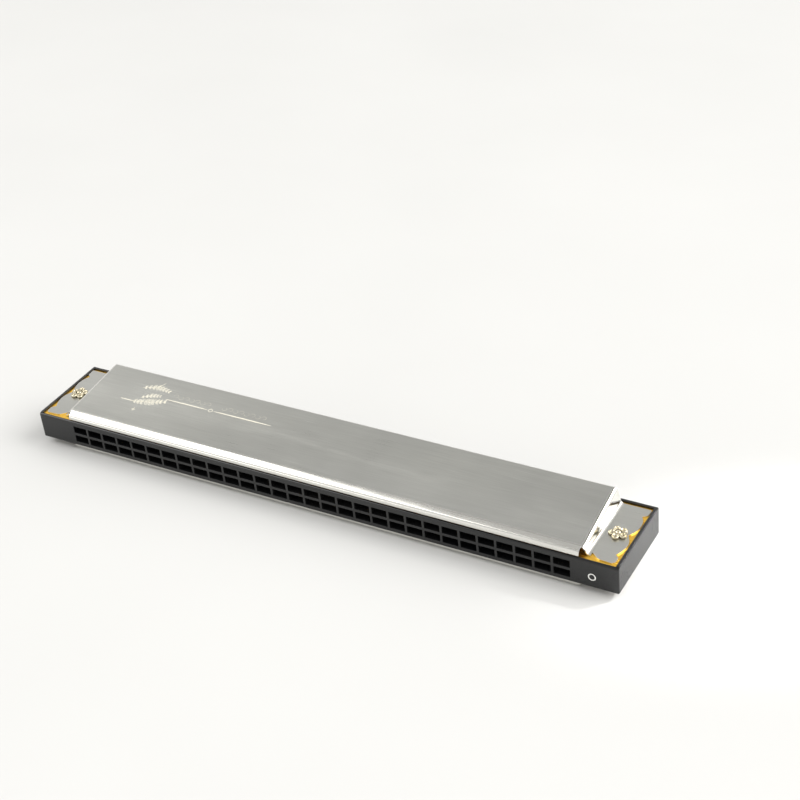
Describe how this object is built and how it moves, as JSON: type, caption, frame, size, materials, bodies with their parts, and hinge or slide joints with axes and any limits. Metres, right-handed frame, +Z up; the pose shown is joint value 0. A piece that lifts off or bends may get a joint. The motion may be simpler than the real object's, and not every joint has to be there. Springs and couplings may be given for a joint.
{
  "type": "harmonica",
  "caption": "Long tremolo harmonica with rows of mouth holes, wedge-shaped metal covers, brass reed plates and freely swinging blow and draw reeds.",
  "frame": {"origin": "centre of the comb: midway along its length and width and between its two reed plates", "axes": "+X along the row of holes from the low notes to the high notes, +Y from the mouth face to the sound opening, +Z up through the upper cover"},
  "size_m": [0.2222, 0.0322, 0.0218],
  "materials": {
    "comb": "moulded black, satin gloss",
    "cover": "satin faces with polished bends",
    "reed_plate": "bright rolled brass",
    "reed": "fine-ground reed brass",
    "rivet": "tumbled",
    "cover_nails": "nickel-washed, polished",
    "brass_nails": "drawn wire with pressed head"
  },
  "bodies": {
    "instrument": {"comb": "comb", "upper_reed_plate": "reed_plate", "lower_reed_plate": "reed_plate", "upper_cover": "cover", "lower_cover": "cover", "cover_nails": "cover_nails", "reed_plate_nails": "brass_nails", "upper_reed_roots": "reed", "lower_reed_roots": "reed", "reed_rivets": "rivet"},
    "upper_reed_01": {"upper_reed_01_blow": "reed"},
    "upper_reed_02": {"upper_reed_02_draw": "reed"},
    "upper_reed_03": {"upper_reed_03_blow": "reed"},
    "upper_reed_04": {"upper_reed_04_draw": "reed"},
    "upper_reed_05": {"upper_reed_05_blow": "reed"},
    "upper_reed_06": {"upper_reed_06_draw": "reed"},
    "upper_reed_07": {"upper_reed_07_blow": "reed"},
    "upper_reed_08": {"upper_reed_08_draw": "reed"},
    "upper_reed_09": {"upper_reed_09_blow": "reed"},
    "upper_reed_10": {"upper_reed_10_draw": "reed"},
    "upper_reed_11": {"upper_reed_11_blow": "reed"},
    "upper_reed_12": {"upper_reed_12_draw": "reed"},
    "upper_reed_13": {"upper_reed_13_blow": "reed"},
    "upper_reed_14": {"upper_reed_14_draw": "reed"},
    "upper_reed_15": {"upper_reed_15_blow": "reed"},
    "upper_reed_16": {"upper_reed_16_draw": "reed"},
    "upper_reed_17": {"upper_reed_17_blow": "reed"},
    "upper_reed_18": {"upper_reed_18_draw": "reed"},
    "upper_reed_19": {"upper_reed_19_blow": "reed"},
    "upper_reed_20": {"upper_reed_20_draw": "reed"},
    "upper_reeds_21_23_25": {"upper_reeds_21_23_25_blow": "reed"},
    "upper_reeds_27_29": {"upper_reeds_27_29_blow": "reed"},
    "upper_reeds_22_24_26": {"upper_reeds_22_24_26_draw": "reed"},
    "upper_reeds_28_30": {"upper_reeds_28_30_draw": "reed"},
    "lower_reed_01": {"lower_reed_01_blow": "reed"},
    "lower_reed_02": {"lower_reed_02_draw": "reed"},
    "lower_reed_03": {"lower_reed_03_blow": "reed"},
    "lower_reed_04": {"lower_reed_04_draw": "reed"},
    "lower_reed_05": {"lower_reed_05_blow": "reed"},
    "lower_reed_06": {"lower_reed_06_draw": "reed"},
    "lower_reed_07": {"lower_reed_07_blow": "reed"},
    "lower_reed_08": {"lower_reed_08_draw": "reed"},
    "lower_reed_09": {"lower_reed_09_blow": "reed"},
    "lower_reed_10": {"lower_reed_10_draw": "reed"},
    "lower_reed_11": {"lower_reed_11_blow": "reed"},
    "lower_reed_12": {"lower_reed_12_draw": "reed"},
    "lower_reed_13": {"lower_reed_13_blow": "reed"},
    "lower_reed_14": {"lower_reed_14_draw": "reed"},
    "lower_reed_15": {"lower_reed_15_blow": "reed"},
    "lower_reed_16": {"lower_reed_16_draw": "reed"},
    "lower_reed_17": {"lower_reed_17_blow": "reed"},
    "lower_reed_18": {"lower_reed_18_draw": "reed"},
    "lower_reed_19": {"lower_reed_19_blow": "reed"},
    "lower_reed_20": {"lower_reed_20_draw": "reed"},
    "lower_reeds_21_23_25": {"lower_reeds_21_23_25_blow": "reed"},
    "lower_reeds_27_29": {"lower_reeds_27_29_blow": "reed"},
    "lower_reeds_22_24_26": {"lower_reeds_22_24_26_draw": "reed"},
    "lower_reeds_28_30": {"lower_reeds_28_30_draw": "reed"}
  },
  "joints": [
    {"name": "upper_reed_01_swing", "type": "hinge", "parent": "instrument", "child": "upper_reed_01", "pos_m": [-0.09335, 0.0043, 0.00351], "axis": [-1, 0, 0], "range_deg": [-5, 5]},
    {"name": "upper_reed_02_swing", "type": "hinge", "parent": "instrument", "child": "upper_reed_02", "pos_m": [-0.08695, -0.00874, 0.00489], "axis": [1, 0, 0], "range_deg": [-4.91, 4.91]},
    {"name": "lower_reed_01_swing", "type": "hinge", "parent": "instrument", "child": "lower_reed_01", "pos_m": [-0.09335, 0.0043, -0.00351], "axis": [1, 0, 0], "range_deg": [-5, 5]},
    {"name": "lower_reed_02_swing", "type": "hinge", "parent": "instrument", "child": "lower_reed_02", "pos_m": [-0.08695, -0.00874, -0.00489], "axis": [-1, 0, 0], "range_deg": [-4.91, 4.91]},
    {"name": "upper_reed_10_swing", "type": "hinge", "parent": "instrument", "child": "upper_reed_10", "pos_m": [-0.03575, -0.00874, 0.00489], "axis": [1, 0, 0], "range_deg": [-4.22, 4.22]},
    {"name": "upper_reed_11_swing", "type": "hinge", "parent": "instrument", "child": "upper_reed_11", "pos_m": [-0.02935, 0.00137, 0.00351], "axis": [-1, 0, 0], "range_deg": [-4.14, 4.14]},
    {"name": "lower_reed_10_swing", "type": "hinge", "parent": "instrument", "child": "lower_reed_10", "pos_m": [-0.03575, -0.00874, -0.00489], "axis": [-1, 0, 0], "range_deg": [-4.22, 4.22]},
    {"name": "lower_reed_11_swing", "type": "hinge", "parent": "instrument", "child": "lower_reed_11", "pos_m": [-0.02935, 0.00137, -0.00351], "axis": [1, 0, 0], "range_deg": [-4.14, 4.14]},
    {"name": "upper_reed_19_swing", "type": "hinge", "parent": "instrument", "child": "upper_reed_19", "pos_m": [0.02185, -0.00098, 0.00351], "axis": [-1, 0, 0], "range_deg": [-3.45, 3.45]},
    {"name": "upper_reed_20_swing", "type": "hinge", "parent": "instrument", "child": "upper_reed_20", "pos_m": [0.02825, -0.00874, 0.00489], "axis": [1, 0, 0], "range_deg": [-3.36, 3.36]},
    {"name": "lower_reed_19_swing", "type": "hinge", "parent": "instrument", "child": "lower_reed_19", "pos_m": [0.02185, -0.00098, -0.00351], "axis": [1, 0, 0], "range_deg": [-3.45, 3.45]},
    {"name": "lower_reed_20_swing", "type": "hinge", "parent": "instrument", "child": "lower_reed_20", "pos_m": [0.02825, -0.00874, -0.00489], "axis": [-1, 0, 0], "range_deg": [-3.36, 3.36]},
    {"name": "upper_reeds_21_23_25_swing", "type": "hinge", "parent": "instrument", "child": "upper_reeds_21_23_25", "pos_m": [0.04745, -0.00156, 0.00351], "axis": [-1, 0, 0], "range_deg": [-3.28, 3.28]},
    {"name": "upper_reeds_22_24_26_swing", "type": "hinge", "parent": "instrument", "child": "upper_reeds_22_24_26", "pos_m": [0.05385, -0.00874, 0.00489], "axis": [1, 0, 0], "range_deg": [-3.19, 3.19]},
    {"name": "lower_reeds_21_23_25_swing", "type": "hinge", "parent": "instrument", "child": "lower_reeds_21_23_25", "pos_m": [0.04745, -0.00156, -0.00351], "axis": [1, 0, 0], "range_deg": [-3.28, 3.28]},
    {"name": "lower_reeds_22_24_26_swing", "type": "hinge", "parent": "instrument", "child": "lower_reeds_22_24_26", "pos_m": [0.05385, -0.00874, -0.00489], "axis": [-1, 0, 0], "range_deg": [-3.19, 3.19]},
    {"name": "upper_reeds_27_29_swing", "type": "hinge", "parent": "instrument", "child": "upper_reeds_27_29", "pos_m": [0.07945, -0.00332, 0.00351], "axis": [-1, 0, 0], "range_deg": [-2.76, 2.76]},
    {"name": "upper_reeds_28_30_swing", "type": "hinge", "parent": "instrument", "child": "upper_reeds_28_30", "pos_m": [0.08585, -0.00874, 0.00489], "axis": [1, 0, 0], "range_deg": [-2.67, 2.67]},
    {"name": "lower_reeds_27_29_swing", "type": "hinge", "parent": "instrument", "child": "lower_reeds_27_29", "pos_m": [0.07945, -0.00332, -0.00351], "axis": [1, 0, 0], "range_deg": [-2.76, 2.76]},
    {"name": "lower_reeds_28_30_swing", "type": "hinge", "parent": "instrument", "child": "lower_reeds_28_30", "pos_m": [0.08585, -0.00874, -0.00489], "axis": [-1, 0, 0], "range_deg": [-2.67, 2.67]},
    {"name": "upper_reed_03_swing", "type": "hinge", "parent": "instrument", "child": "upper_reed_03", "pos_m": [-0.08055, 0.00371, 0.00351], "axis": [-1, 0, 0], "range_deg": [-4.83, 4.83]},
    {"name": "upper_reed_04_swing", "type": "hinge", "parent": "instrument", "child": "upper_reed_04", "pos_m": [-0.07415, -0.00874, 0.00489], "axis": [1, 0, 0], "range_deg": [-4.74, 4.74]},
    {"name": "upper_reed_05_swing", "type": "hinge", "parent": "instrument", "child": "upper_reed_05", "pos_m": [-0.06775, 0.00313, 0.00351], "axis": [-1, 0, 0], "range_deg": [-4.66, 4.66]},
    {"name": "upper_reed_06_swing", "type": "hinge", "parent": "instrument", "child": "upper_reed_06", "pos_m": [-0.06135, -0.00874, 0.00489], "axis": [1, 0, 0], "range_deg": [-4.57, 4.57]},
    {"name": "upper_reed_07_swing", "type": "hinge", "parent": "instrument", "child": "upper_reed_07", "pos_m": [-0.05495, 0.00254, 0.00351], "axis": [-1, 0, 0], "range_deg": [-4.48, 4.48]},
    {"name": "upper_reed_08_swing", "type": "hinge", "parent": "instrument", "child": "upper_reed_08", "pos_m": [-0.04855, -0.00874, 0.00489], "axis": [1, 0, 0], "range_deg": [-4.4, 4.4]},
    {"name": "upper_reed_09_swing", "type": "hinge", "parent": "instrument", "child": "upper_reed_09", "pos_m": [-0.04215, 0.00196, 0.00351], "axis": [-1, 0, 0], "range_deg": [-4.31, 4.31]},
    {"name": "upper_reed_12_swing", "type": "hinge", "parent": "instrument", "child": "upper_reed_12", "pos_m": [-0.02295, -0.00874, 0.00489], "axis": [1, 0, 0], "range_deg": [-4.05, 4.05]},
    {"name": "upper_reed_13_swing", "type": "hinge", "parent": "instrument", "child": "upper_reed_13", "pos_m": [-0.01655, 0.00078, 0.00351], "axis": [-1, 0, 0], "range_deg": [-3.97, 3.97]},
    {"name": "upper_reed_14_swing", "type": "hinge", "parent": "instrument", "child": "upper_reed_14", "pos_m": [-0.01015, -0.00874, 0.00489], "axis": [1, 0, 0], "range_deg": [-3.88, 3.88]},
    {"name": "upper_reed_15_swing", "type": "hinge", "parent": "instrument", "child": "upper_reed_15", "pos_m": [-0.00375, 0.0002, 0.00351], "axis": [-1, 0, 0], "range_deg": [-3.79, 3.79]},
    {"name": "upper_reed_16_swing", "type": "hinge", "parent": "instrument", "child": "upper_reed_16", "pos_m": [0.00265, -0.00874, 0.00489], "axis": [1, 0, 0], "range_deg": [-3.71, 3.71]},
    {"name": "upper_reed_17_swing", "type": "hinge", "parent": "instrument", "child": "upper_reed_17", "pos_m": [0.00905, -0.00039, 0.00351], "axis": [-1, 0, 0], "range_deg": [-3.62, 3.62]},
    {"name": "upper_reed_18_swing", "type": "hinge", "parent": "instrument", "child": "upper_reed_18", "pos_m": [0.01545, -0.00874, 0.00489], "axis": [1, 0, 0], "range_deg": [-3.53, 3.53]},
    {"name": "lower_reed_03_swing", "type": "hinge", "parent": "instrument", "child": "lower_reed_03", "pos_m": [-0.08055, 0.00371, -0.00351], "axis": [1, 0, 0], "range_deg": [-4.83, 4.83]},
    {"name": "lower_reed_04_swing", "type": "hinge", "parent": "instrument", "child": "lower_reed_04", "pos_m": [-0.07415, -0.00874, -0.00489], "axis": [-1, 0, 0], "range_deg": [-4.74, 4.74]},
    {"name": "lower_reed_05_swing", "type": "hinge", "parent": "instrument", "child": "lower_reed_05", "pos_m": [-0.06775, 0.00313, -0.00351], "axis": [1, 0, 0], "range_deg": [-4.66, 4.66]},
    {"name": "lower_reed_06_swing", "type": "hinge", "parent": "instrument", "child": "lower_reed_06", "pos_m": [-0.06135, -0.00874, -0.00489], "axis": [-1, 0, 0], "range_deg": [-4.57, 4.57]},
    {"name": "lower_reed_07_swing", "type": "hinge", "parent": "instrument", "child": "lower_reed_07", "pos_m": [-0.05495, 0.00254, -0.00351], "axis": [1, 0, 0], "range_deg": [-4.48, 4.48]},
    {"name": "lower_reed_08_swing", "type": "hinge", "parent": "instrument", "child": "lower_reed_08", "pos_m": [-0.04855, -0.00874, -0.00489], "axis": [-1, 0, 0], "range_deg": [-4.4, 4.4]},
    {"name": "lower_reed_09_swing", "type": "hinge", "parent": "instrument", "child": "lower_reed_09", "pos_m": [-0.04215, 0.00196, -0.00351], "axis": [1, 0, 0], "range_deg": [-4.31, 4.31]},
    {"name": "lower_reed_12_swing", "type": "hinge", "parent": "instrument", "child": "lower_reed_12", "pos_m": [-0.02295, -0.00874, -0.00489], "axis": [-1, 0, 0], "range_deg": [-4.05, 4.05]},
    {"name": "lower_reed_13_swing", "type": "hinge", "parent": "instrument", "child": "lower_reed_13", "pos_m": [-0.01655, 0.00078, -0.00351], "axis": [1, 0, 0], "range_deg": [-3.97, 3.97]},
    {"name": "lower_reed_14_swing", "type": "hinge", "parent": "instrument", "child": "lower_reed_14", "pos_m": [-0.01015, -0.00874, -0.00489], "axis": [-1, 0, 0], "range_deg": [-3.88, 3.88]},
    {"name": "lower_reed_15_swing", "type": "hinge", "parent": "instrument", "child": "lower_reed_15", "pos_m": [-0.00375, 0.0002, -0.00351], "axis": [1, 0, 0], "range_deg": [-3.79, 3.79]},
    {"name": "lower_reed_16_swing", "type": "hinge", "parent": "instrument", "child": "lower_reed_16", "pos_m": [0.00265, -0.00874, -0.00489], "axis": [-1, 0, 0], "range_deg": [-3.71, 3.71]},
    {"name": "lower_reed_17_swing", "type": "hinge", "parent": "instrument", "child": "lower_reed_17", "pos_m": [0.00905, -0.00039, -0.00351], "axis": [1, 0, 0], "range_deg": [-3.62, 3.62]},
    {"name": "lower_reed_18_swing", "type": "hinge", "parent": "instrument", "child": "lower_reed_18", "pos_m": [0.01545, -0.00874, -0.00489], "axis": [-1, 0, 0], "range_deg": [-3.53, 3.53]}
  ]
}
